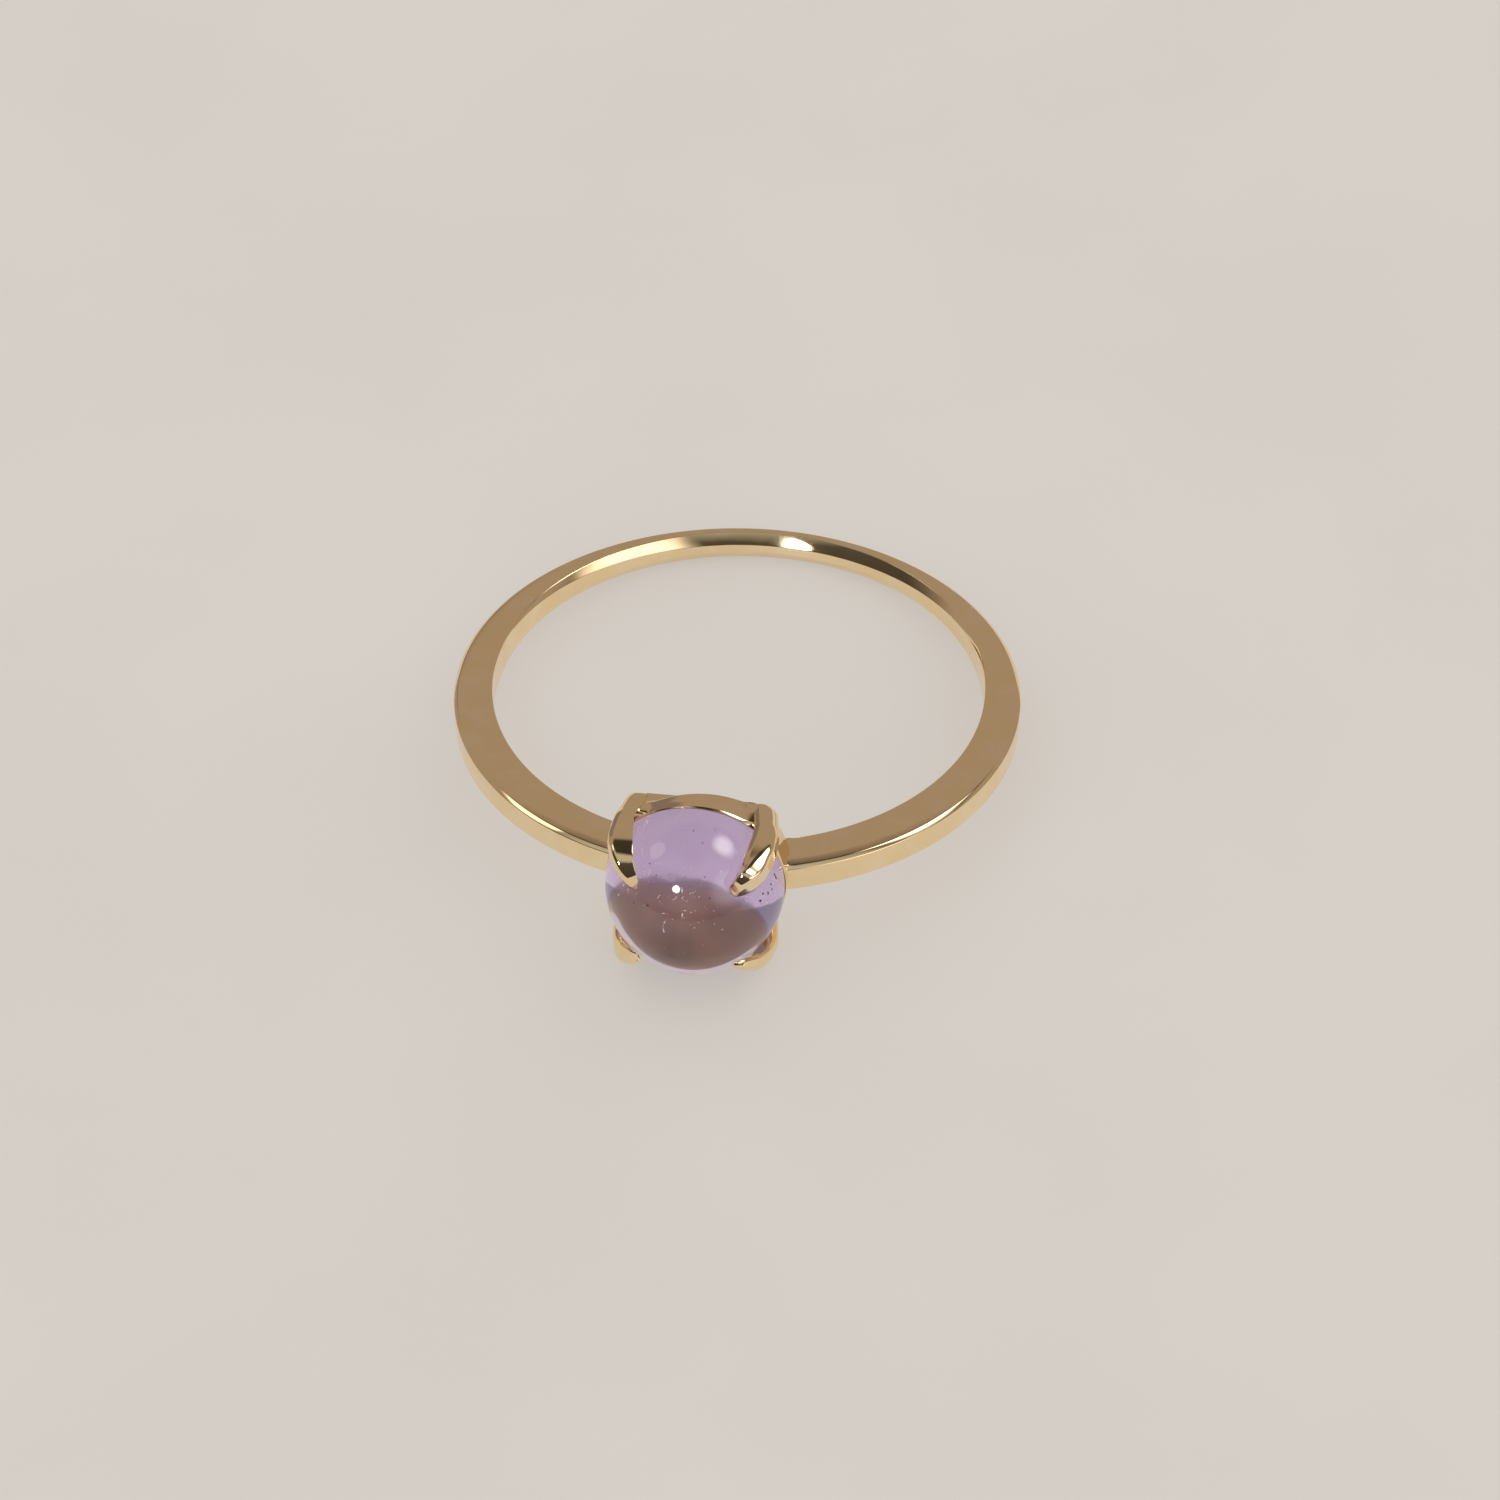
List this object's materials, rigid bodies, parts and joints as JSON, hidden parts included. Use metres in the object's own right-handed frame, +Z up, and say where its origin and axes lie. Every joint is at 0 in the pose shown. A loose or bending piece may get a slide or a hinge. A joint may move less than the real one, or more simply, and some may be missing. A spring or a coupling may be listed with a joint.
{
  "type": "amethyst ring",
  "caption": "Slim gold finger ring with a round domed amethyst held in an open-backed cup by claws, lying on its side.",
  "frame": {"origin": "centre of the ring's outline at table level, under the ring as it lies on its side", "axes": "+Z up from the table, -Y the way the stone looks (the ring rests with the stone's end raised by about 7.5 degrees), X across the ring"},
  "size_m": [0.02, 0.0226, 0.0061],
  "materials": {
    "polished_gold": "polished gold plating on silver",
    "amethyst": "polished clear pale purple quartz"
  },
  "bodies": {
    "root": {"band_and_setting": "polished_gold", "amethyst_cabochon": "amethyst"}
  },
  "joints": []
}
